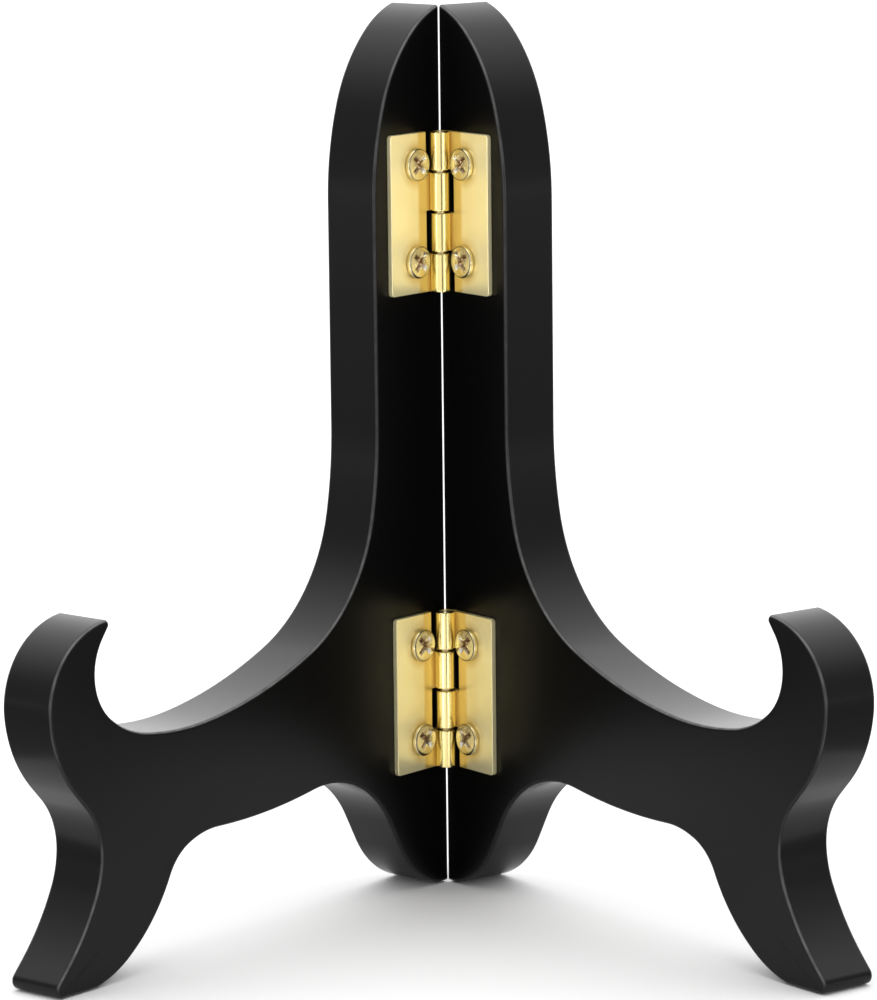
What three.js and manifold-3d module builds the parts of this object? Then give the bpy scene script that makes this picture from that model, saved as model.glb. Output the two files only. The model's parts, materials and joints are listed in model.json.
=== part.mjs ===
// Folding display stand for a photo album: two mirror-image boards joined by two brass butt hinges.
// Millimetres, +Z up, +Y away from the viewer, +X to the viewer's right.
//
// Each side is built in its own frame: u runs outwards from the hinge edge along the board, w is the
// height above the board's inner face, which carries the hinge leaves, and v runs up the hinge edge.

import * as THREE from 'three';
import { mergeVertices } from 'three/addons/utils/BufferGeometryUtils.js';
import Module from 'manifold-3d';

const wasm = await Module();
wasm.setup();

// Boards
const boardThickness = 9.8;
const edgeRounding = 0.45;
const halfOpening = THREE.MathUtils.degToRad(38.5);
const hingeEdgeAt = 0.18;
const soleHeight = -68.6;
const spineTop = 73.2;

// Hinges
const hingeHeight = 25.4;
const hingeInset = 32.4;
const leafThickness = 0.65;
const leafReach = 10.7;
const leafCornerRadius = 0.6;
const contactGap = 0.2;
const knuckleRadius = 1.7;
const knuckleLift = 0.25;
const knuckleCount = 4;
const knuckleGap = 0.35;
const notchGap = 0.35;
const pinRadius = 0.8;
const pinGap = 0.3;
const pinChamfer = 0.2;

// Screws
const screwOffset = 4.6;
const screwSpacing = 15.4;
const headRadius = 2.6;
const headHeight = 0.8;
const domeHeight = 0.2;
const headGap = 0.15;
const shankRadius = 1.1;
const shankLength = 6.5;
const tipLength = 1.5;
const recessLength = 3.6;
const recessWidth = 0.8;
const recessDepth = 0.5;
const holeGap = 0.3;

// How finely round shapes are divided, and how far a cutter runs past what it cuts
const outlineStep = THREE.MathUtils.degToRad(9);
const fewestBendSteps = 2;
const roundingSteps = 2;
const cornerSteps = 4;
const knuckleSides = 28;
const boreSides = 20;
const pinSides = 20;
const headSides = 32;
const domeSteps = 4;
const overrun = 1;
const sawSize = 400;
const weldDistance = 1e-4;

// The pin's axis stands over both inner faces, so its foot lies this far along each board
const axisHeight = knuckleRadius + knuckleLift;
const axisAt = axisHeight / Math.tan(halfOpening);
const leafTop = contactGap + leafThickness;
const knuckleHeight = (hingeHeight - (knuckleCount - 1) * knuckleGap) / knuckleCount;
const hinges = { upper: spineTop - hingeInset, lower: soleHeight + hingeInset };
const sides = { left: 1, right: -1 };

const lacquer = new THREE.MeshStandardMaterial({ color: 0x0d0d0e, roughness: 0.38, metalness: 0 });
const leafBrass = new THREE.MeshStandardMaterial({ color: 0xe8cd76, roughness: 0.28, metalness: 1 });
const screwBrass = new THREE.MeshStandardMaterial({ color: 0xd6bf86, roughness: 0.32, metalness: 1 });
const pinBrass = new THREE.MeshStandardMaterial({ color: 0xd9c27c, roughness: 0.3, metalness: 1 });

// A board's outline, walked clockwise from the top of its hinge edge. A bend turns right through a
// positive angle and left through a negative one.
const bend = (radius, degrees) => ({ radius, turn: THREE.MathUtils.degToRad(degrees) });
const straight = (length) => ({ length });
const outlineStart = new THREE.Vector2(0, spineTop);
const outlineHeading = THREE.MathUtils.degToRad(-17);
const outlineStretches = [
  // rounded top of the spine, and its straight front edge
  bend(17.5, 26), bend(26.5, 29), bend(48, 18), straight(35.9),
  // sweep down into the arm that carries the album
  bend(67, -12), bend(27, -54), bend(80, -17), bend(50, -17),
  // hollow behind the hook, and the hook's tip
  bend(16.5, -28), bend(9, -89), straight(1.9), bend(0.8, 133),
  // back of the hook
  bend(14.5, 31), bend(12.5, 60), bend(20, 36), straight(3),
  // waist and front of the leg
  bend(11.5, -49), bend(15, -19), bend(38, -18), straight(2.57),
  // toe, sole and inner edge of the leg
  bend(1.4, 125), straight(0.77), bend(19.5, 43), bend(29.5, 28),
  // underside of the arm
  bend(9, -39), bend(15.5, -26), bend(106, 12),
  // arch and rear foot
  bend(17.5, -71), straight(5.3), bend(16, 54),
];

// The points of a walk of bends and straights
function walkOutline(start, startHeading, stretches) {
  const points = [start];
  let heading = startHeading;
  let here = start;
  for (const { length, radius, turn } of stretches) {
    if (length !== undefined) {
      const forwards = new THREE.Vector2(Math.cos(heading), Math.sin(heading));
      here = forwards.multiplyScalar(length).add(here);
      points.push(here);
      continue;
    }
    const side = Math.sign(turn) * radius;
    const inwards = new THREE.Vector2(Math.sin(heading), -Math.cos(heading));
    const centre = inwards.multiplyScalar(side).add(here);
    const steps = Math.max(fewestBendSteps, Math.ceil(Math.abs(turn) / outlineStep));
    for (let step = 1; step <= steps; step += 1) {
      const angle = heading - (turn * step) / steps;
      const outwards = new THREE.Vector2(-Math.sin(angle), Math.cos(angle));
      here = outwards.multiplyScalar(side).add(centre);
      points.push(here);
    }
    heading -= turn;
  }
  return points;
}

// Turns a closed geometry into a solid that can be joined and cut
function solidOf(geometry) {
  const bare = geometry.clone();
  bare.deleteAttribute('normal');
  bare.deleteAttribute('uv');
  const merged = mergeVertices(bare, weldDistance);
  return new wasm.Manifold(new wasm.Mesh({
    numProp: 3,
    vertProperties: new Float32Array(merged.attributes.position.array),
    triVerts: new Uint32Array(merged.index.array),
  }));
}

function geometryOf(solid) {
  const mesh = solid.getMesh();
  const positions = new THREE.BufferAttribute(new Float32Array(mesh.vertProperties), 3);
  const geometry = new THREE.BufferGeometry();
  geometry.setAttribute('position', positions);
  geometry.setIndex(new THREE.BufferAttribute(new Uint32Array(mesh.triVerts), 1));
  geometry.computeVertexNormals();
  return geometry;
}

const boxSolid = (size, centre) => solidOf(new THREE.BoxGeometry(...size).translate(...centre));

// A cylinder round the hinge axis, standing on the height `bottom`
function axisCylinder(radius, height, facets, bottom) {
  const cylinder = new THREE.CylinderGeometry(radius, radius, height, facets).rotateX(Math.PI / 2);
  return solidOf(cylinder.translate(axisAt, axisHeight, bottom + height / 2));
}

// A cutter for a screw's hole, between two heights above the inner face
function screwHole(low, high, v) {
  const radius = shankRadius + holeGap;
  const cylinder = new THREE.CylinderGeometry(radius, radius, high - low, boreSides);
  return solidOf(cylinder.translate(axisAt + screwOffset, (low + high) / 2, v));
}

// Shapes are made for the left side. The right side's are their mirror images.
function forSide(solid, side) {
  return geometryOf(side === sides.left ? solid : solid.mirror([0, 1, 0]));
}

const screwPlaces = {
  top: screwSpacing / 2,
  bottom: -screwSpacing / 2,
};

function makeBoard() {
  const outline = walkOutline(outlineStart, outlineHeading, outlineStretches);
  // the rounding turns past the hinge edge, which is sawn straight afterwards
  outline.unshift(new THREE.Vector2(-overrun, outline[0].y));
  outline.push(new THREE.Vector2(-overrun, outline.at(-1).y));
  const extruded = new THREE.ExtrudeGeometry(new THREE.Shape(outline), {
    depth: boardThickness - 2 * edgeRounding,
    bevelThickness: edgeRounding,
    bevelSize: edgeRounding,
    bevelOffset: -edgeRounding,
    bevelSegments: roundingSteps,
  });
  // the outline's plane turns upright, with the inner face at w = 0 and the wood behind it
  extruded.rotateX(Math.PI / 2).translate(0, -edgeRounding, 0);
  let board = solidOf(extruded);
  const saw = [sawSize, sawSize, sawSize];
  board = board.subtract(boxSolid(saw, [0, 0, soleHeight - sawSize / 2]));
  board = board.subtract(boxSolid(saw, [hingeEdgeAt - sawSize / 2, 0, 0]));
  for (const hingeAt of Object.values(hinges)) {
    for (const place of Object.values(screwPlaces)) {
      board = board.subtract(screwHole(-shankLength - holeGap, overrun, hingeAt + place));
    }
  }
  return board;
}

// One hinge leaf with its share of the knuckles, round v = 0. Knuckles are counted from the top.
function makeLeaf(ownKnuckles) {
  const half = hingeHeight / 2;
  const corner = leafCornerRadius;
  const reach = axisAt + leafReach;
  const plate = new THREE.Shape();
  plate.moveTo(axisAt, -half);
  plate.lineTo(reach - corner, -half);
  plate.absarc(reach - corner, -half + corner, corner, -Math.PI / 2, 0);
  plate.lineTo(reach, half - corner);
  plate.absarc(reach - corner, half - corner, corner, 0, Math.PI / 2);
  plate.lineTo(axisAt, half);
  plate.closePath();
  const flat = new THREE.ExtrudeGeometry(plate, {
    depth: leafThickness,
    bevelEnabled: false,
    curveSegments: cornerSteps,
  });
  let leaf = solidOf(flat.rotateX(Math.PI / 2).translate(0, leafTop, 0));

  // room for the other leaf's knuckles
  const notchWidth = knuckleRadius + notchGap;
  for (let index = 0; index < knuckleCount; index += 1) {
    const bottom = half - knuckleHeight - index * (knuckleHeight + knuckleGap);
    if (ownKnuckles.includes(index)) {
      leaf = leaf.add(axisCylinder(knuckleRadius, knuckleHeight, knuckleSides, bottom));
      continue;
    }
    const notchSize = [2 * notchWidth, 2 * (leafTop + overrun), knuckleHeight + 2 * knuckleGap];
    leaf = leaf.subtract(boxSolid(notchSize, [axisAt, 0, bottom + knuckleHeight / 2]));
  }
  const boreLength = hingeHeight + 2 * overrun;
  leaf = leaf.subtract(axisCylinder(pinRadius + pinGap, boreLength, boreSides, -half - overrun));
  for (const place of Object.values(screwPlaces)) {
    leaf = leaf.subtract(screwHole(-overrun, leafTop + overrun, place));
  }
  return leaf;
}

// A pin round v = 0, its ends chamfered
function makePin() {
  const half = hingeHeight / 2;
  const profile = [
    new THREE.Vector2(0, -half),
    new THREE.Vector2(pinRadius - pinChamfer, -half),
    new THREE.Vector2(pinRadius, -half + pinChamfer),
    new THREE.Vector2(pinRadius, half - pinChamfer),
    new THREE.Vector2(pinRadius - pinChamfer, half),
    new THREE.Vector2(0, half),
  ];
  return new THREE.LatheGeometry(profile, pinSides).rotateX(Math.PI / 2);
}

// A round-head screw along w, with a cross recess and a pointed tip
function makeScrew() {
  const seat = leafTop + headGap;
  const rim = seat + headHeight - domeHeight;
  const profile = [
    new THREE.Vector2(0, -shankLength),
    new THREE.Vector2(shankRadius, -shankLength + tipLength),
    new THREE.Vector2(shankRadius, seat),
    new THREE.Vector2(headRadius, seat),
  ];
  for (let step = 0; step < domeSteps; step += 1) {
    const angle = (step / domeSteps) * (Math.PI / 2);
    profile.push(new THREE.Vector2(headRadius * Math.cos(angle), rim + domeHeight * Math.sin(angle)));
  }
  profile.push(new THREE.Vector2(0, rim + domeHeight));
  let screw = solidOf(new THREE.LatheGeometry(profile, headSides));
  for (const turn of [Math.PI / 4, -Math.PI / 4]) {
    const bar = new THREE.BoxGeometry(recessLength, 2 * recessDepth, recessWidth).rotateY(turn);
    screw = screw.subtract(solidOf(bar.translate(0, rim + domeHeight, 0)));
  }
  return screw.translate([axisAt + screwOffset, 0, 0]);
}

function addMesh(parent, name, geometry, material, place) {
  const mesh = new THREE.Mesh(geometry, material);
  mesh.name = name;
  mesh.position.set(...place);
  parent.add(mesh);
}

const stand = new THREE.Group();
const leafKnuckles = { left: [1, 3], right: [0, 2] };
const board = makeBoard();
const screw = makeScrew();

for (const [sideName, side] of Object.entries(sides)) {
  const half = new THREE.Group();
  half.rotation.z = -Math.PI / 2 - side * halfOpening;
  stand.add(half);
  addMesh(half, `${sideName}_panel`, forSide(board, side), lacquer, [0, 0, 0]);
  const leaf = makeLeaf(leafKnuckles[sideName]);
  for (const [hingeName, hingeAt] of Object.entries(hinges)) {
    addMesh(half, `${hingeName}_${sideName}_leaf`, forSide(leaf, side), leafBrass, [0, 0, hingeAt]);
    for (const [placeName, place] of Object.entries(screwPlaces)) {
      const name = `${hingeName}_${sideName}_screw_${placeName}`;
      addMesh(half, name, forSide(screw, side), screwBrass, [0, 0, hingeAt + place]);
    }
  }
}

// The pins stand in front of the hinge edges, as high above one inner face as above the other
const pinForward = axisHeight / Math.sin(halfOpening);
for (const [hingeName, hingeAt] of Object.entries(hinges)) {
  addMesh(stand, `${hingeName}_pin`, makePin(), pinBrass, [0, -pinForward, hingeAt]);
}

// The origin is the middle of the footprint, at the level of the soles
stand.updateMatrixWorld(true);
const bounds = new THREE.Box3().setFromObject(stand, true);
const middle = bounds.getCenter(new THREE.Vector3());
stand.position.set(-middle.x, -middle.y, -bounds.min.z);

export default stand;
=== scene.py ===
"""Folding display stand for a photo album: two black lacquered boards on two brass butt hinges.

Lengths in this file are millimetres until a mesh is made, and metres from then on. Each side has its
own board frame: u runs outwards from the hinge edge, w is the height above the board's inner face,
and v is the height above the surface that the stand is on.
"""

import json
import math

import bmesh
import bpy
from mathutils import Matrix, Vector


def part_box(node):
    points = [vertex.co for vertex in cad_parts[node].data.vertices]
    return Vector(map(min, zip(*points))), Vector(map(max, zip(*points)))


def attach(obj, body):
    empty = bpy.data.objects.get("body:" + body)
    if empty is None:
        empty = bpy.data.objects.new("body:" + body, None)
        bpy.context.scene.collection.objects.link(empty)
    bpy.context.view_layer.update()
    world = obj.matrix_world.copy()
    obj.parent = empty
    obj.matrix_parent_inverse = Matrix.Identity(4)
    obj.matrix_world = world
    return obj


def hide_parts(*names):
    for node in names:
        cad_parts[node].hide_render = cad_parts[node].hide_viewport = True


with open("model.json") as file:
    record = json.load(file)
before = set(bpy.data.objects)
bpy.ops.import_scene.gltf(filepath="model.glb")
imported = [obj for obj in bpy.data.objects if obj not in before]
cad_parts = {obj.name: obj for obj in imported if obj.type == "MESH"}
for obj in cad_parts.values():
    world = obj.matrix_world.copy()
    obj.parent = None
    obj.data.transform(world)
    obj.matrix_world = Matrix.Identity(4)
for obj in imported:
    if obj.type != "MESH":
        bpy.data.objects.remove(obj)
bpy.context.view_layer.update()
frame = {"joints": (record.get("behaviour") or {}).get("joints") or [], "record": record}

MM = 0.001

# ---------------------------------------------------------------- sizes, in millimetres

BOARD_THICKNESS = 9.8
EDGE_ROUNDING = 0.45
ROUNDING_STEPS = 5
EDGE_STRIP = 0.15
SPINE_TOP = 141.8

# The board's outline starts beyond its hinge edge and is then sawn off there
PAST_HINGE_EDGE = -3.0
HINGE_EDGE = 0.18

# LEAF_BACK, LEAF_TOP and AXIS_HEIGHT are heights above the board's inner face, and LEAF_REACH runs
# outwards from the hinge axis
LEAF_BACK = 0.03
LEAF_TOP = 0.85
LEAF_REACH = 10.7
LEAF_CORNER = 0.6
LEAF_CORNER_STEPS = 6
LEAF_EASING = 0.09
LEAF_EASING_STEPS = 3
LEAF_EASING_LIMIT = 35
KNUCKLE_RADIUS = 1.7
KNUCKLE_CHAMFER = 0.14
KNUCKLE_SIDES = 96
KNUCKLE_GAP = 0.35
KNUCKLE_COUNT = 4
NOTCH_GAP = 0.35
AXIS_HEIGHT = 1.95
BORE_RADIUS = 1.0
BORE_SIDES = 64
PIN_SIDES = 48

# A knuckle's end, as shares of its chamfer: (off the radius, along the axis)
KNUCKLE_END = ((1, 0), (0.3, 0.3), (0, 1), (0, 1.6))

# A pin's low domed end: (radius, depth inside the hinge's end)
PIN_END = ((0, 0.02), (0.564, 0.05), (0.876, 0.12), (0.94, 0.28))

# HEAD_SEAT, HEAD_RIM and HEAD_TOP are heights above the board's inner face
SCREW_OFFSET = 4.6
HEAD_RADIUS = 2.6
HEAD_SEAT = 0.87
HEAD_RIM = 1.62
HEAD_TOP = 1.8
HEAD_UNDERCUT = 0.12
HEAD_SHOULDER = 0.2
HEAD_SIDES = 72
SHOULDER_STEPS = 6
SHOULDER_TURN = math.radians(72)
DOME_STEPS = 8
RECESS_LENGTH = 3.8
SCREW_EASING = 0.045
SCREW_EASING_STEPS = 2
SCREW_EASING_LIMIT = 40
SHANK_RADIUS = 1.1
SHANK_LENGTH = 6.5
TIP_LENGTH = 1.5
SCREW_TURNS = {"top": math.radians(47), "bottom": math.radians(42)}

# A bar of the cross recess, level by level: length as a share of RECESS_LENGTH, width, and height over
# the top of the head
CROSS_LEVELS = ((1.06, 1.0, 0.2), (0.92, 0.86, -0.2), (0.4, 0.6, -0.8))

HOLE_RADIUS = 1.3
HOLE_SIDES = 24
LEAF_HOLE_SIDES = 32
HOLE_CLEARANCE = 0.4
OVERRUN = 1.0

# Faces that meet at a sharper angle than this, in degrees, keep a crisp edge
SHARP_DEGREES = 30
WELD_DISTANCE = 1e-5

# ---------------------------------------------------------------- the frame's own measures

RECORD = frame["record"]
HINGE_AXIS = frame["joints"][0]["pos_m"]

# The way that the front of the left spine faces gives half the angle between the boards
FACING = next(m["axis"] for m in RECORD["mounts"] if m["name"] == "left_spine_front")
SIN_HALF = abs(FACING[0])
COS_HALF = abs(FACING[1])

AXIS_U = AXIS_HEIGHT * COS_HALF / SIN_HALF
SCREW_U = AXIS_U + SCREW_OFFSET
CORNER_Y = HINGE_AXIS[1] / MM + AXIS_HEIGHT / SIN_HALF
SIDES = {"left": 1, "right": -1}
HINGES = ("upper", "lower")
LEAF_KNUCKLES = {"left": (1, 3), "right": (0, 2)}


def height_of(node):
    """The middle height of a CAD node, in millimetres."""
    low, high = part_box(node)
    return (low.z + high.z) / 2 / MM


def size_of(node):
    """A CAD node's extent along +Z, in millimetres."""
    low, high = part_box(node)
    return (high.z - low.z) / MM


def board_frame(side):
    """The matrix from a side's (u, w, v), in millimetres, to the row frame, in metres."""
    outwards = Vector((-side * SIN_HALF, -COS_HALF, 0))
    facing = Vector((side * COS_HALF, -SIN_HALF, 0))
    turn = Matrix((outwards, facing, (0, 0, 1))).transposed().to_4x4()
    return Matrix.Scale(MM, 4) @ Matrix.Translation((0, CORNER_Y, 0)) @ turn


SCREW_SPACING = height_of("upper_left_screw_top") - height_of("upper_left_screw_bottom")


# ---------------------------------------------------------------- mesh helpers


def add_object(name, bm):
    """A linked object from a bmesh, its normals pointing out."""
    bmesh.ops.remove_doubles(bm, verts=bm.verts, dist=WELD_DISTANCE)
    bmesh.ops.recalc_face_normals(bm, faces=bm.faces)
    mesh = bpy.data.meshes.new(name)
    bm.to_mesh(mesh)
    bm.free()
    piece = bpy.data.objects.new(name, mesh)
    bpy.context.scene.collection.objects.link(piece)
    return piece


def bake_modifiers(piece):
    """Applies the piece's modifiers to its mesh."""
    graph = bpy.context.evaluated_depsgraph_get()
    mesh = bpy.data.meshes.new_from_object(piece.evaluated_get(graph))
    piece.modifiers.clear()
    old = piece.data
    piece.data = mesh
    bpy.data.meshes.remove(old)


def combine(piece, tools, operation):
    """Joins the tools to the piece, or cuts them from it, and removes them."""
    for tool in tools:
        modifier = piece.modifiers.new("combine", "BOOLEAN")
        modifier.operation = operation
        modifier.solver = "EXACT"
        modifier.object = tool
    bake_modifiers(piece)
    for tool in tools:
        bpy.data.objects.remove(tool)


def join_rings(bm, rings):
    """Walls between each ring of corners and the next."""
    for first, second in zip(rings, rings[1:]):
        for i in range(len(first)):
            j = (i + 1) % len(first)
            bm.faces.new((first[i], first[j], second[j], second[i]))


def close_ends(bm, rings):
    """A face over the first ring of corners, and one over the last."""
    bm.faces.new(rings[0])
    bm.faces.new(rings[-1])


def prism(name, outline, low, high):
    """A closed prism: the outline's (u, v) points, between two heights w."""
    bm = bmesh.new()
    rings = [[bm.verts.new((u, w, v)) for u, v in outline] for w in (low, high)]
    close_ends(bm, rings)
    join_rings(bm, rings)
    return add_object(name, bm)


def turned(name, profile, segments, centre, axis):
    """A closed solid of revolution. The profile's (radius, distance) points run from end to end along
    the axis, which is "v" or "w"."""
    bm = bmesh.new()
    rings = []
    for radius, along in profile:
        count = segments if radius > 0 else 1
        ring = []
        for k in range(count):
            angle = 2 * math.pi * k / segments
            across = (radius * math.cos(angle), radius * math.sin(angle))
            spot = (across[0], across[1], along) if axis == "v" else (across[0], along, across[1])
            ring.append(bm.verts.new(Vector(spot) + Vector(centre)))
        rings.append(ring)
    for first, second in zip(rings, rings[1:]):
        for k in range(segments):
            n = (k + 1) % segments
            corners = [first[k % len(first)], first[n % len(first)]]
            corners += [second[n % len(second)], second[k % len(second)]]
            bm.faces.new(dict.fromkeys(corners))
    for end in (rings[0], rings[-1]):
        if len(end) > 1:
            bm.faces.new(end)
    return add_object(name, bm)


def place(piece, side):
    """Carries a mesh from a side's board frame to the row frame, turning mirrored faces back out."""
    matrix = board_frame(side)
    piece.data.transform(matrix)
    if matrix.determinant() < 0:
        piece.data.flip_normals()


def soften(piece, width, segments, limit_degrees):
    """Eases the edges where faces meet at more than the limit, in the piece's own units."""
    bevel = piece.modifiers.new("ease", "BEVEL")
    bevel.width = width
    bevel.segments = segments
    bevel.limit_method = "ANGLE"
    bevel.angle_limit = math.radians(limit_degrees)
    bevel.use_clamp_overlap = True
    bake_modifiers(piece)


def smooth(piece):
    """Smooth shading that keeps the large faces flat."""
    for polygon in piece.data.polygons:
        polygon.use_smooth = True
    piece.data.set_sharp_from_angle(angle=math.radians(SHARP_DEGREES))
    weighted = piece.modifiers.new("weighted", "WEIGHTED_NORMAL")
    weighted.keep_sharp = True
    bake_modifiers(piece)


def keep_frame_coordinates(piece):
    """Stores each point's (u, w, v) as the attribute "board", for the material's grain."""
    layer = piece.data.attributes.new("board", "FLOAT_VECTOR", "POINT")
    for vertex, item in zip(piece.data.vertices, layer.data):
        item.vector = vertex.co


# ---------------------------------------------------------------- boards


def bend(radius, degrees):
    """A round stretch of the outline: right through a positive angle, left through a negative one."""
    return radius, math.radians(degrees)


def straight(length):
    """A straight stretch of the outline."""
    return length, None


OUTLINE_HEADING = math.radians(-17)
OUTLINE = (
    # rounded top of the spine, and its straight front edge
    bend(17.5, 26), bend(26.5, 29), bend(48, 18), straight(35.9),
    # sweep down into the arm that carries the album
    bend(67, -12), bend(27, -54), bend(80, -17), bend(50, -17),
    # hollow behind the hook, and the hook's tip
    bend(16.5, -28), bend(9, -89), straight(1.9), bend(0.8, 133),
    # back of the hook
    bend(14.5, 31), bend(12.5, 60), bend(20, 36), straight(3),
    # waist and front of the leg
    bend(11.5, -49), bend(15, -19), bend(38, -18), straight(2.57),
    # toe, sole and inner edge of the leg
    bend(1.4, 125), straight(0.77), bend(19.5, 43), bend(29.5, 28),
    # underside of the arm
    bend(9, -39), bend(15.5, -26), bend(106, 12),
    # arch and rear foot
    bend(17.5, -71), straight(5.3), bend(16, 54),
)
OUTLINE_STEP = math.radians(2.5)
LONGEST_STEP = 1.5


def board_outline():
    """(point, outward normal) pairs round the board, from the top of the hinge edge."""
    heading = OUTLINE_HEADING
    here = Vector((0, SPINE_TOP))

    def normal(angle):
        return Vector((-math.sin(angle), math.cos(angle)))

    def level(point, outward):
        """A point that would lie below the sole is brought up to it."""
        if point.y < 0:
            return Vector((point.x, 0)), Vector((0, -1))
        return point, outward

    pairs = [level(here, normal(heading))]
    for size, turn in OUTLINE:
        if turn is None:
            steps = max(1, math.ceil(size / LONGEST_STEP))
            along = Vector((math.cos(heading), math.sin(heading))) * size / steps
            for _ in range(steps):
                here = here + along
                pairs.append(level(here, normal(heading)))
            continue
        steps = math.ceil(max(abs(turn) / OUTLINE_STEP, abs(turn) * size / LONGEST_STEP))
        radius = math.copysign(size, turn)
        centre = here - normal(heading) * radius
        for step in range(1, steps + 1):
            angle = heading - turn * step / steps
            here = centre + normal(angle) * radius
            pairs.append(level(here, normal(angle)))
        heading -= turn
    return pairs


def make_board(name):
    """The board in its own frame: rounded long edges, a sawn hinge edge and flat soles."""
    pairs = board_outline()
    pairs.insert(0, (Vector((PAST_HINGE_EDGE, pairs[0][0].y)), pairs[0][1]))
    pairs.append((Vector((PAST_HINGE_EDGE, pairs[-1][0].y)), pairs[-1][1]))

    # (inset, depth below the inner face) of each ring, with a narrow flat strip inside each edge
    section = [(EDGE_ROUNDING + EDGE_STRIP, 0)]
    for k in range(ROUNDING_STEPS + 1):
        angle = math.pi / 2 * k / ROUNDING_STEPS
        inset = EDGE_ROUNDING * (1 - math.sin(angle))
        section.append((inset, EDGE_ROUNDING * (1 - math.cos(angle))))
    section.append((0, EDGE_ROUNDING + EDGE_STRIP))
    section += [(inset, BOARD_THICKNESS - depth) for inset, depth in reversed(section)]

    bm = bmesh.new()
    rings = []
    for inset, depth in section:
        spots = [point - outward * inset for point, outward in pairs]
        rings.append([bm.verts.new((spot.x, -depth, spot.y)) for spot in spots])
    join_rings(bm, rings)
    close_ends(bm, rings)

    everything = bm.verts[:] + bm.edges[:] + bm.faces[:]
    sawn = bmesh.ops.bisect_plane(
        bm, geom=everything, plane_co=(HINGE_EDGE, 0, 0), plane_no=(-1, 0, 0), clear_outer=True)
    cut_edges = [item for item in sawn["geom_cut"] if isinstance(item, bmesh.types.BMEdge)]
    bmesh.ops.holes_fill(bm, edges=cut_edges, sides=0)
    return add_object(name, bm)


def pilot_holes():
    """Cutters for the screw holes of one board."""
    profile = [(HOLE_RADIUS, -SHANK_LENGTH - HOLE_CLEARANCE), (HOLE_RADIUS, OVERRUN)]
    tools = []
    for hinge in HINGES:
        for spot in ("top", "bottom"):
            centre = (SCREW_U, 0, height_of(f"{hinge}_left_screw_{spot}"))
            tools.append(turned("hole", profile, HOLE_SIDES, centre, "w"))
    return tools


# ---------------------------------------------------------------- hinges


def knuckle_spans(half):
    """(bottom, top) of each knuckle from the top one down, round a hinge of that half height."""
    height = (2 * half - (KNUCKLE_COUNT - 1) * KNUCKLE_GAP) / KNUCKLE_COUNT
    tops = [half - k * (height + KNUCKLE_GAP) for k in range(KNUCKLE_COUNT)]
    return [(top - height, top) for top in tops]


def make_leaf(name, own, half):
    """A hinge leaf round the height 0, with the knuckles whose numbers are in `own`."""
    reach = AXIS_U + LEAF_REACH
    notch = AXIS_U + KNUCKLE_RADIUS + NOTCH_GAP
    spans = knuckle_spans(half)
    corner = []
    for k in range(LEAF_CORNER_STEPS + 1):
        angle = math.pi / 2 * k / LEAF_CORNER_STEPS
        across = LEAF_CORNER * (1 - math.sin(angle))
        down = LEAF_CORNER * (1 - math.cos(angle))
        corner.append((reach - across, -half + down))
    outline = corner + [(u, -v) for u, v in reversed(corner)]
    # the inner edge, from the top down, runs under the leaf's own knuckles and round the others
    for number, (bottom, top) in enumerate(spans):
        edge = AXIS_U if number in own else notch
        room = 0 if number in own else KNUCKLE_GAP
        above = half if number == 0 else top + room
        below = -half if number == KNUCKLE_COUNT - 1 else bottom - room
        outline += [(edge, above), (edge, below)]
    leaf = prism(name, outline, LEAF_BACK, LEAF_TOP)

    end = []
    for off, along in KNUCKLE_END:
        end.append((KNUCKLE_RADIUS - KNUCKLE_CHAMFER * off, KNUCKLE_CHAMFER * along))
    axis = (AXIS_U, AXIS_HEIGHT, 0)
    knuckles = []
    for number in own:
        bottom, top = spans[number]
        profile = [(radius, bottom + along) for radius, along in end]
        profile += [(radius, top - along) for radius, along in reversed(end)]
        knuckles.append(turned("knuckle", profile, KNUCKLE_SIDES, axis, "v"))
    soften(leaf, LEAF_EASING, LEAF_EASING_STEPS, LEAF_EASING_LIMIT)
    combine(leaf, knuckles, "UNION")

    bore = [(BORE_RADIUS, -half - OVERRUN), (BORE_RADIUS, half + OVERRUN)]
    tools = [turned("bore", bore, BORE_SIDES, axis, "v")]
    hole = [(HOLE_RADIUS, -OVERRUN), (HOLE_RADIUS, 2 * OVERRUN)]
    for offset in (-1, 1):
        spot = (SCREW_U, 0, offset * SCREW_SPACING / 2)
        tools.append(turned("hole", hole, LEAF_HOLE_SIDES, spot, "w"))
    combine(leaf, tools, "DIFFERENCE")
    return leaf


def make_pin(name, middle, half):
    """The hinge pin. Its cut ends are low domes, each lying a little inside the hinge."""
    profile = [(radius, -half + depth) for radius, depth in PIN_END]
    profile += [(radius, -along) for radius, along in reversed(profile)]
    return turned(name, profile, PIN_SIDES, (0, 0, middle), "v")


def make_cross(turn):
    """One bar of a screw's cross recess, narrowing as it goes down."""
    bm = bmesh.new()
    rings = []
    for share, width, over in CROSS_LEVELS:
        length = share * RECESS_LENGTH
        w = HEAD_TOP + over
        ring = []
        for along, across in ((1, 1), (-1, 1), (-1, -1), (1, -1)):
            spot = Vector((along * length / 2, across * width / 2))
            spot.rotate(Matrix.Rotation(turn, 2))
            ring.append(bm.verts.new((spot.x, w, spot.y)))
        rings.append(ring)
    join_rings(bm, rings)
    close_ends(bm, rings)
    return add_object("cross", bm)


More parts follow.
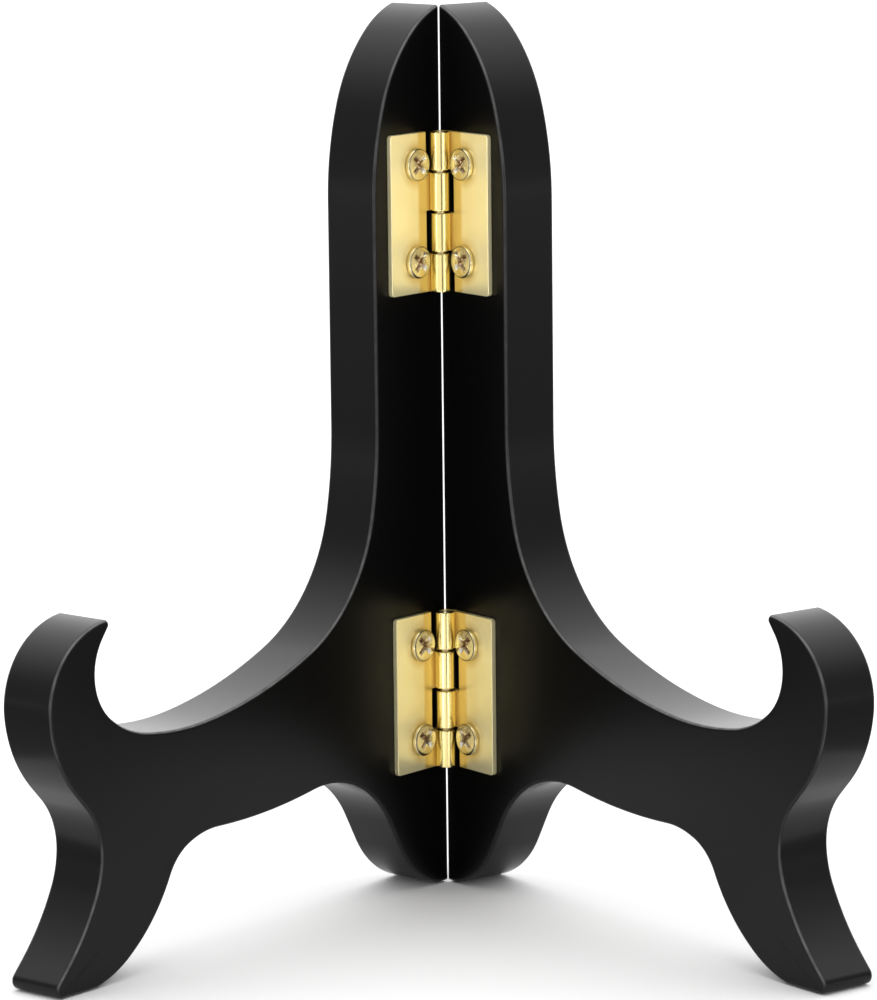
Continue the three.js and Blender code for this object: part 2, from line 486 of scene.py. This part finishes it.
def make_screw(name, height, turn):
    """A round-head screw, its head on the leaf and its shank in the board."""
    shoulder_height = HEAD_RIM - HEAD_SHOULDER
    profile = [
        (0, -SHANK_LENGTH),
        (SHANK_RADIUS, -SHANK_LENGTH + TIP_LENGTH),
        (SHANK_RADIUS, HEAD_SEAT),
        (HEAD_RADIUS - HEAD_UNDERCUT, HEAD_SEAT),
        (HEAD_RADIUS, HEAD_SEAT + HEAD_UNDERCUT),
        (HEAD_RADIUS, shoulder_height),
    ]
    # the side rolls over into a low dome
    for k in range(1, SHOULDER_STEPS + 1):
        angle = SHOULDER_TURN * k / SHOULDER_STEPS
        radius = HEAD_RADIUS - HEAD_SHOULDER * (1 - math.cos(angle))
        profile.append((radius, shoulder_height + HEAD_SHOULDER * math.sin(angle)))
    rim_radius, rim_height = profile[-1]
    for k in range(1, DOME_STEPS + 1):
        share = 1 - k / DOME_STEPS
        profile.append((rim_radius * share, HEAD_TOP - (HEAD_TOP - rim_height) * share ** 2))
    screw = turned(name, profile, HEAD_SIDES, (0, 0, 0), "w")
    combine(screw, [make_cross(turn), make_cross(turn + math.pi / 2)], "DIFFERENCE")
    soften(screw, SCREW_EASING, SCREW_EASING_STEPS, SCREW_EASING_LIMIT)
    keep_frame_coordinates(screw)
    screw.data.transform(Matrix.Translation((SCREW_U, 0, height)))
    return screw


# ---------------------------------------------------------------- materials


class Nodes:
    """A short way to write a material's node tree."""

    def __init__(self, name):
        self.material = bpy.data.materials.new(name)
        self.material.use_nodes = True
        self.tree = self.material.node_tree
        self.shader = self.tree.nodes["Principled BSDF"]

    def add(self, kind, inputs=None, **settings):
        node = self.tree.nodes.new(kind)
        for key, value in settings.items():
            setattr(node, key, value)
        for key, value in (inputs or {}).items():
            self.set(node.inputs[key], value)
        return node

    def set(self, socket, value):
        if isinstance(value, bpy.types.NodeSocket):
            self.tree.links.new(value, socket)
        else:
            socket.default_value = value

    def surface(self, **inputs):
        for key, value in inputs.items():
            self.set(self.shader.inputs[key.replace("_", " ")], value)

    def board_point(self, scale=(1.0, 1.0, 1.0)):
        """The point in its board's own frame, stretched by `scale` along u, w and v."""
        spot = self.add("ShaderNodeAttribute", attribute_name="board")
        mapping = self.add("ShaderNodeMapping", {"Vector": spot.outputs["Vector"], "Scale": scale})
        return mapping.outputs["Vector"]

    def noise(self, point, scale, detail=3.0, roughness=0.5):
        """A cloudy value round 0.5."""
        inputs = {"Vector": point, "Scale": scale, "Detail": detail, "Roughness": roughness}
        return self.add("ShaderNodeTexNoise", inputs).outputs["Fac"]

    def math(self, operation, first, second=0.0):
        inputs = {0: first, 1: second}
        return self.add("ShaderNodeMath", inputs, operation=operation).outputs[0]

    def split(self, point, axis):
        return self.add("ShaderNodeSeparateXYZ", {0: point}).outputs[axis]

    def ramp(self, value, over=(0.0, 1.0), to=(0.0, 1.0)):
        """A value that runs between the two ends of `to` while the given one runs through `over`."""
        inputs = {
            "Value": value,
            "From Min": over[0],
            "From Max": over[1],
            "To Min": to[0],
            "To Max": to[1],
        }
        return self.add("ShaderNodeMapRange", inputs).outputs["Result"]

    def spread(self, noise):
        """The middle of a noise's values, stretched over 0 to 1."""
        return self.ramp(noise, over=NOISE_MIDDLE)

    def mix(self, share, first, second):
        node = self.add("ShaderNodeMix", {0: share, 6: first, 7: second}, data_type="RGBA")
        return node.outputs[2]

    def bump(self, height, distance, strength=1.0, normal=None):
        inputs = {"Height": height, "Distance": distance, "Strength": strength}
        if normal is not None:
            inputs["Normal"] = normal
        return self.add("ShaderNodeBump", inputs).outputs["Normal"]


# The ends of a ramp that falls, and the middle part of a noise's values
FADE = (1.0, 0.0)
NOISE_MIDDLE = (0.3, 0.7)
CLOUD_MIDDLE = (0.35, 0.7)
WHITE = (1, 1, 1, 1)

LACQUER_BLACK = (0.0011, 0.0011, 0.0012, 1)
LACQUER_GRAIN = (0.0019, 0.0018, 0.0018, 1)
# painted highlight and wear: the lighter colour of the line along the edges
LACQUER_WEAR_AND_HIGHLIGHT = (0.13, 0.128, 0.126, 1)
LACQUER_ROUGHNESS = (0.205, 0.25)
LACQUER_SPECULAR = 0.19
GRAIN_ROUGHNESS = (-0.012, 0.012)
BROAD_DULLNESS = 0.09

# Depths below a broad face: where the lighter edge line, part wear and part painted highlight, is
# full, where it fades out towards the face, and where the face's own dullness begins
WEAR_AND_HIGHLIGHT_FULL = 0.16
WEAR_AND_HIGHLIGHT_FADE = (0.1, 0.01)
BROAD_START = (0.03, 0.005)

# The edge line's painted highlight grows as a face looks up, where the top light would catch it, and
# its wear comes in patches: the range of each, and the share it allows
UPWARD = (-0.1, 0.45)
TOP_LIGHT_SHARE = (0.12, 1.0)
PATCHES = (0.35, 0.6)
PATCHES_SHARE = (0.6, 1.0)

BRASS_PALE = (1.0, 0.9, 0.53, 1)
BRASS_DEEP = (0.98, 0.87, 0.49, 1)
# painted shadow: the deeper colour of the leaf round each screw head
BRASS_SCREW_SHADOW = (0.82, 0.64, 0.26, 1)
# painted reflection: the deeper band of the leaf beside the knuckle, where the knuckle is mirrored
BRASS_KNUCKLE_REFLECTION = (0.8, 0.58, 0.17, 1)
# painted shade: a darker copy of the leaf's brass for the knuckles, standing in for what they reflect
BRASS_KNUCKLE_SHADED = (0.84, 0.7, 0.31, 1)
LEAF_ROUGHNESS = (0.3, 0.35)
SPECK_ROUGHNESS = (-0.01, 0.01)
KNUCKLE_POLISH = -0.13
LEAF_METALLIC = 0.6
SCREW_SHADOW_WIDTH = 1.5
KNUCKLE_REFLECTION_OFFSETS = (3.7, 4.3)
ROLL_OFFSETS = (0.1, 0.5)

PIN_PALE = (0.8, 0.68, 0.4, 1)
PIN_DEEP = (0.7, 0.58, 0.33, 1)
PIN_ROUGHNESS = (0.3, 0.38)
SCRATCH_ROUGHNESS = (-0.02, 0.04)

SCREW_PALE = (0.88, 0.79, 0.52, 1)
SCREW_DEEP = (0.76, 0.68, 0.43, 1)
# painted shade: the dark line round the shoulder of the head, where it rolls over
SCREW_SHOULDER_SHADE = (0.36, 0.31, 0.19, 1)
SCREW_ROUGHNESS = (0.19, 0.26)
# painted light in the cross recess: a painted highlight on its walls, painted shade deeper down
RECESS_WALL_HIGHLIGHT = (0.95, 0.9, 0.78, 1)
RECESS_FLOOR_SHADE = (0.42, 0.31, 0.2, 1)
RINGS_PER_MM = 9.0

# Depths below the dome of the head, then distances from the middle of the screw
RECESS_START = (0.06, 0.3)
RECESS_HIGHLIGHT_TO_SHADE = (0.25, 0.55)
RECESS_END = (1.9, 2.1)
SHOULDER_SHADE_START = (2.2, 2.42)
SHOULDER_SHADE_END = (2.5, 2.58)

FLOOR_GREY = 0.74
FLOOR_ROUGHNESS = 0.9


def lacquer_material():
    """Black satin lacquer over fine wood grain that runs up the board, with a lighter line along the
    edges that is part wear and part painted highlight, and duller on the broad faces."""
    n = Nodes("black_lacquer")
    grain = n.noise(n.board_point(scale=(1.0, 1.0, 0.06)), scale=2.4, detail=5.0, roughness=0.6)
    peel = n.noise(n.board_point(), scale=0.5, detail=2.0)
    cloud = n.noise(n.board_point(scale=(0.05, 0.05, 0.03)), scale=1.0, detail=2.0)
    rub = n.noise(n.board_point(), scale=0.35)

    # how near a point is to a long edge, and whether it lies on a broad face
    half = BOARD_THICKNESS / 2
    across = n.split(n.board_point(), "Y")
    from_middle = n.math("ABSOLUTE", n.math("ADD", across, half))
    near = n.ramp(from_middle, over=(half - EDGE_ROUNDING, half - WEAR_AND_HIGHLIGHT_FULL))
    inside = n.ramp(from_middle, over=[half - depth for depth in WEAR_AND_HIGHLIGHT_FADE], to=FADE)
    broad = n.ramp(from_middle, over=[half - depth for depth in BROAD_START], to=(0.0, BROAD_DULLNESS))

    # the edges get a lighter line that is part wear, in patches, and part painted highlight, stronger
    # on the edges that face up towards the top light
    upward = n.split(n.add("ShaderNodeNewGeometry").outputs["Normal"], "Z")
    top_light = n.ramp(upward, over=UPWARD, to=TOP_LIGHT_SHARE)
    rubbed = n.ramp(rub, over=PATCHES, to=PATCHES_SHARE)
    wear_and_top_light = n.math("MULTIPLY", top_light, rubbed)
    edge = n.math("MULTIPLY", n.math("MULTIPLY", near, inside), wear_and_top_light)
    # painted highlight, mixed with wear: the edge line is lightened in colour
    tone = n.mix(edge, n.mix(grain, LACQUER_BLACK, LACQUER_GRAIN), LACQUER_WEAR_AND_HIGHLIGHT)

    gloss = n.math("ADD", n.ramp(cloud, to=LACQUER_ROUGHNESS), n.ramp(grain, to=GRAIN_ROUGHNESS))
    relief = n.bump(grain, distance=0.00001, strength=0.3)
    relief = n.bump(peel, distance=0.00002, strength=0.12, normal=relief)
    n.surface(Base_Color=tone, Roughness=n.math("ADD", gloss, broad), Normal=relief,
              Specular_IOR_Level=LACQUER_SPECULAR)
    return n.material


def leaf_material():
    """Plated brass: satin and pale on the flat, smooth on the rolled knuckles, with painted light: a
    deeper band at the bend that paints the knuckle's reflection, a painted shadow round each screw and
    a deeper, shaded tone on the knuckles.
    """
    n = Nodes("leaf_brass")
    spot = n.board_point()
    along, up, height = (n.split(spot, axis) for axis in "XYZ")
    brush = n.noise(n.board_point(scale=(1.0, 1.0, 0.12)), scale=3.0, detail=4.0, roughness=0.6)
    cloud = n.noise(n.board_point(scale=(0.22, 0.22, 0.22)), scale=1.0)
    speck = n.noise(spot, scale=6.0, detail=2.0)
    rolled = n.ramp(up, over=[LEAF_TOP + offset for offset in ROLL_OFFSETS])
    knuckle_reflection = n.ramp(along, over=[AXIS_U + offset for offset in KNUCKLE_REFLECTION_OFFSETS], to=FADE)

    # how far a point is from the nearer screw
    across = n.math("SUBTRACT", along, SCREW_U)
    beyond = n.math("SUBTRACT", n.math("ABSOLUTE", height), SCREW_SPACING / 2)
    squares = [n.math("POWER", part, 2.0) for part in (across, beyond)]
    away = n.math("SQRT", n.math("ADD", *squares))
    screw_shadow = n.ramp(away, over=(HEAD_RADIUS, HEAD_RADIUS + SCREW_SHADOW_WIDTH), to=FADE)

    tone = n.mix(n.spread(cloud), BRASS_PALE, BRASS_DEEP)
    # painted shadow: the leaf darkens in a ring round each screw head
    tone = n.mix(screw_shadow, tone, BRASS_SCREW_SHADOW)
    # painted reflection: the leaf deepens in a band beside the knuckle
    tone = n.mix(knuckle_reflection, tone, BRASS_KNUCKLE_REFLECTION)
    # painted shade: the knuckles take the darker copy of the brass
    tone = n.mix(rolled, tone, BRASS_KNUCKLE_SHADED)
    satin = n.ramp(cloud, over=CLOUD_MIDDLE, to=LEAF_ROUGHNESS)
    dull = n.math("ADD", satin, n.ramp(speck, to=SPECK_ROUGHNESS))
    roughness = n.math("ADD", dull, n.ramp(rolled, to=(0.0, KNUCKLE_POLISH)))
    n.surface(Base_Color=tone, Metallic=n.ramp(rolled, to=(LEAF_METALLIC, 1.0)), Roughness=roughness,
              Normal=n.bump(brush, distance=0.000006, strength=0.12))
    return n.material


def pin_material():
    """Duller brass with fine scratches on the cut ends."""
    n = Nodes("pin_brass")
    cloud = n.noise(n.board_point(), scale=0.22)
    scratch = n.noise(n.board_point(scale=(1.0, 0.2, 1.0)), scale=6.0)
    tone = n.mix(n.spread(cloud), PIN_PALE, PIN_DEEP)
    worn = n.ramp(cloud, over=CLOUD_MIDDLE, to=PIN_ROUGHNESS)
    roughness = n.math("ADD", worn, n.ramp(scratch, to=SCRATCH_ROUGHNESS))
    n.surface(Base_Color=tone, Metallic=1.0, Roughness=roughness,
              Normal=n.bump(scratch, distance=0.00001, strength=0.3))
    return n.material


def screw_material():
    """Paler plating with turned rings, painted shade as a dark line round the shoulder of the head's
    face, and painted light in the recess: a painted highlight on its walls, painted shade deeper down.
    """
    n = Nodes("screw_brass")
    spot = n.board_point()
    level = n.add("ShaderNodeVectorMath", {0: spot, 1: (1, 0, 1)}, operation="MULTIPLY")
    length = n.add("ShaderNodeVectorMath", {0: level.outputs["Vector"]}, operation="LENGTH")
    radius = length.outputs["Value"]
    cloud = n.noise(spot, scale=0.6)
    turning = {"W": n.math("MULTIPLY", radius, RINGS_PER_MM), "Scale": 1.0, "Detail": 3.0}
    rings = n.add("ShaderNodeTexNoise", turning, noise_dimensions="1D").outputs["Fac"]

    # how far a point lies below the dome of the head
    fallen = n.math("MULTIPLY", n.math("POWER", radius, 2.0), (HEAD_TOP - HEAD_RIM) / HEAD_RADIUS ** 2)
    sunk = n.math("SUBTRACT", n.math("SUBTRACT", HEAD_TOP, fallen), n.split(spot, "Y"))
    below = n.ramp(sunk, over=RECESS_START)
    recess = n.math("MULTIPLY", below, n.ramp(radius, over=RECESS_END, to=FADE))
    rising = n.ramp(radius, over=SHOULDER_SHADE_START)
    shoulder_shade = n.math("MULTIPLY", rising, n.ramp(radius, over=SHOULDER_SHADE_END, to=FADE))

    tone = n.mix(n.spread(cloud), SCREW_PALE, SCREW_DEEP)
    # painted shade: a dark line round the shoulder of the head
    tone = n.mix(shoulder_shade, tone, SCREW_SHOULDER_SHADE)
    # painted highlight on the recess walls, turning to painted shade deeper in the recess
    tone = n.mix(recess, tone, n.mix(n.ramp(sunk, over=RECESS_HIGHLIGHT_TO_SHADE), RECESS_WALL_HIGHLIGHT, RECESS_FLOOR_SHADE))
    roughness = n.ramp(rings, over=NOISE_MIDDLE, to=SCREW_ROUGHNESS)
    n.surface(Base_Color=tone, Metallic=1.0, Roughness=roughness,
              Normal=n.bump(rings, distance=0.00001, strength=0.3))
    return n.material


def card_material(name, grey, glow=0.0):
    n = Nodes(name)
    n.surface(Base_Color=(grey, grey, grey, 1), Roughness=1.0, Specular_IOR_Level=0.0,
              Emission_Color=WHITE, Emission_Strength=glow)
    return n.material


def floor_material():
    n = Nodes("pale_floor")
    n.surface(Base_Color=(FLOOR_GREY, FLOOR_GREY, FLOOR_GREY, 1), Roughness=FLOOR_ROUGHNESS)
    return n.material


# ---------------------------------------------------------------- the object

LACQUER = lacquer_material()
LEAF_BRASS = leaf_material()
PIN_BRASS = pin_material()
SCREW_BRASS = screw_material()


def finish_piece(piece, material, body, node):
    """Gives a placed piece its material and its body, and hides the CAD node that it stands for."""
    piece.data.materials.clear()
    piece.data.materials.append(material)
    smooth(piece)
    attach(piece, body)
    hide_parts(node)


def build_boards():
    for side_name, side in SIDES.items():
        board = make_board(f"{side_name}_board")
        combine(board, pilot_holes(), "DIFFERENCE")
        keep_frame_coordinates(board)
        place(board, side)
        finish_piece(board, LACQUER, f"{side_name}_side", f"{side_name}_panel")


def build_hinges():
    for hinge in HINGES:
        middle = height_of(f"{hinge}_left_leaf")
        half = size_of(f"{hinge}_left_leaf") / 2
        for side_name, side in SIDES.items():
            body = f"{side_name}_side"
            node = f"{hinge}_{side_name}_leaf"
            leaf = make_leaf(f"{hinge}_{side_name}_hinge_leaf", LEAF_KNUCKLES[side_name], half)
            keep_frame_coordinates(leaf)
            leaf.data.transform(Matrix.Translation((0, 0, middle)))
            place(leaf, side)
            finish_piece(leaf, LEAF_BRASS, body, node)
            for spot, turn in SCREW_TURNS.items():
                node = f"{hinge}_{side_name}_screw_{spot}"
                screw = make_screw(f"{hinge}_{side_name}_{spot}_screw", height_of(node), turn)
                place(screw, side)
                finish_piece(screw, SCREW_BRASS, body, node)
        pin = make_pin(f"{hinge}_hinge_pin", middle, half)
        keep_frame_coordinates(pin)
        pin.data.transform(Matrix.Translation(Vector(HINGE_AXIS[:2] + [0])) @ Matrix.Scale(MM, 4))
        finish_piece(pin, PIN_BRASS, "left_side", f"{hinge}_pin")


# ---------------------------------------------------------------- camera, floor and light

CAMERA_AT = (14.0, -756.4, 198.9)
CAMERA_PITCH = math.radians(-9.8)
CAMERA_YAW = math.radians(1.079)
CAMERA_ROLL = math.radians(-0.64)
LENS = 180
SENSOR_WIDTH = 36
NEAREST = 0.05

FLOOR_HALF = 6.0
FLOOR_CELLS = 8
FLOOR_LEVEL = -0.0002

FLAG_SIZE = (0.026, 0.12)
FLAG_AT = (0.034, -0.09, 0.06)
BLACK_CARD = 0.002
GREY_CARD = 0.3
SIDE_CARD_SIZE = (0.8, 0.9)
SIDE_CARD_X = 0.5
FRONT_CARD_SIZE = (0.09, 0.16)
FRONT_CARD_X = 0.085
FRONT_CARD_Y = -0.15
FILL_GLOW = 3.6
CARD_LIFT = 0.0005

SKY_AIM = (0, 0.5, 0.85)
SKY_EDGE = 0.15
SKY_LOW = 0.65
SKY_HIGH = 2.6
SOFTBOX_AT = (0.5, -0.4, 0.14)
SOFTBOX_SIZE = 0.26
SOFTBOX_POWER = 0.6
LIGHT_AIM = (0, 0, 0.06)


def build_camera():
    """A long lens, a little above the stand and just left of square on to it."""
    data = bpy.data.cameras.new("camera")
    data.lens = LENS
    data.sensor_width = SENSOR_WIDTH
    data.clip_start = NEAREST
    camera = bpy.data.objects.new("camera", data)
    camera.location = Vector(CAMERA_AT) * MM
    turn = Matrix.Rotation(CAMERA_YAW, 4, "Z") @ Matrix.Rotation(math.pi / 2 + CAMERA_PITCH, 4, "X")
    camera.rotation_euler = (turn @ Matrix.Rotation(CAMERA_ROLL, 4, "Z")).to_euler()
    bpy.context.scene.collection.objects.link(camera)
    bpy.context.scene.camera = camera


def build_floor():
    bm = bmesh.new()
    bmesh.ops.create_grid(bm, x_segments=FLOOR_CELLS, y_segments=FLOOR_CELLS, size=FLOOR_HALF)
    floor = add_object("floor", bm)
    floor.location.z = FLOOR_LEVEL
    floor.data.materials.append(floor_material())


def add_card(name, size, location, rotation, material):
    """A flat card that shows in reflections only, so that it shapes them as a studio flag does."""
    bm = bmesh.new()
    # a square one metre across, which the size then stretches
    bmesh.ops.create_grid(bm, x_segments=2, y_segments=2, size=0.5)
    card = add_object(name, bm)
    card.data.transform(Matrix.Diagonal((*size, 1, 1)))
    card.location = location
    card.rotation_euler = rotation
    card.data.materials.append(material)
    card.visible_camera = False
    card.visible_diffuse = False
    card.visible_shadow = False


def build_cards():
    """A narrow black card in front makes the dark line down each knuckle. Grey ones on the floor to the
    left and right keep the boards' upright faces black. Two bright ones on the floor in front fill the
    lower hinge."""
    black = card_material("black_card", BLACK_CARD)
    turn = math.atan2(FLAG_AT[0], -FLAG_AT[1])
    add_card("flag", FLAG_SIZE, FLAG_AT, (math.pi / 2, 0, turn), black)
    grey = card_material("grey_card", GREY_CARD)
    bright = card_material("bright_card", BLACK_CARD, FILL_GLOW)
    for side_name, side in SIDES.items():
        beside = (-side * SIDE_CARD_X, 0, CARD_LIFT)
        before = (-side * FRONT_CARD_X, FRONT_CARD_Y, CARD_LIFT)
        add_card(f"{side_name}_grey_card", SIDE_CARD_SIZE, beside, (0, 0, 0), grey)
        add_card(f"{side_name}_bright_card", FRONT_CARD_SIZE, before, (0, 0, 0), bright)


def add_softbox(name, position):
    data = bpy.data.lights.new(name, "AREA")
    data.shape = "SQUARE"
    data.size = SOFTBOX_SIZE
    data.energy = SOFTBOX_POWER
    lamp = bpy.data.objects.new(name, data)
    lamp.location = position
    aim = Vector(LIGHT_AIM) - Vector(position)
    lamp.rotation_euler = aim.to_track_quat("-Z", "Y").to_euler()
    bpy.context.scene.collection.objects.link(lamp)


def build_world():
    """A white studio that is brightest overhead and to the back."""
    world = bpy.data.worlds.new("studio")
    world.use_nodes = True
    tree = world.node_tree
    links = tree.links.new

    def add(kind, **settings):
        node = tree.nodes.new(kind)
        for key, value in settings.items():
            setattr(node, key, value)
        return node

    direction = add("ShaderNodeTexCoord")
    towards = add("ShaderNodeVectorMath", operation="DOT_PRODUCT")
    towards.inputs[1].default_value = Vector(SKY_AIM).normalized()
    glow = add("ShaderNodeMapRange", interpolation_type="SMOOTHSTEP")
    limits = {"From Min": SKY_EDGE, "From Max": 1.0, "To Min": SKY_LOW, "To Max": SKY_HIGH}
    for key, value in limits.items():
        glow.inputs[key].default_value = value
    links(direction.outputs["Generated"], towards.inputs[0])
    links(towards.outputs["Value"], glow.inputs["Value"])
    background = tree.nodes["Background"]
    background.inputs["Color"].default_value = WHITE
    links(glow.outputs[0], background.inputs["Strength"])
    bpy.context.scene.world = world


def build_light():
    across, behind, above = SOFTBOX_AT
    for side in SIDES.values():
        add_softbox("front_softbox", (-side * across, behind, above))
    view = bpy.context.scene.view_settings
    view.view_transform = "Standard"
    view.look = "None"


build_camera()
build_floor()
build_cards()
build_world()
build_light()
build_boards()
build_hinges()
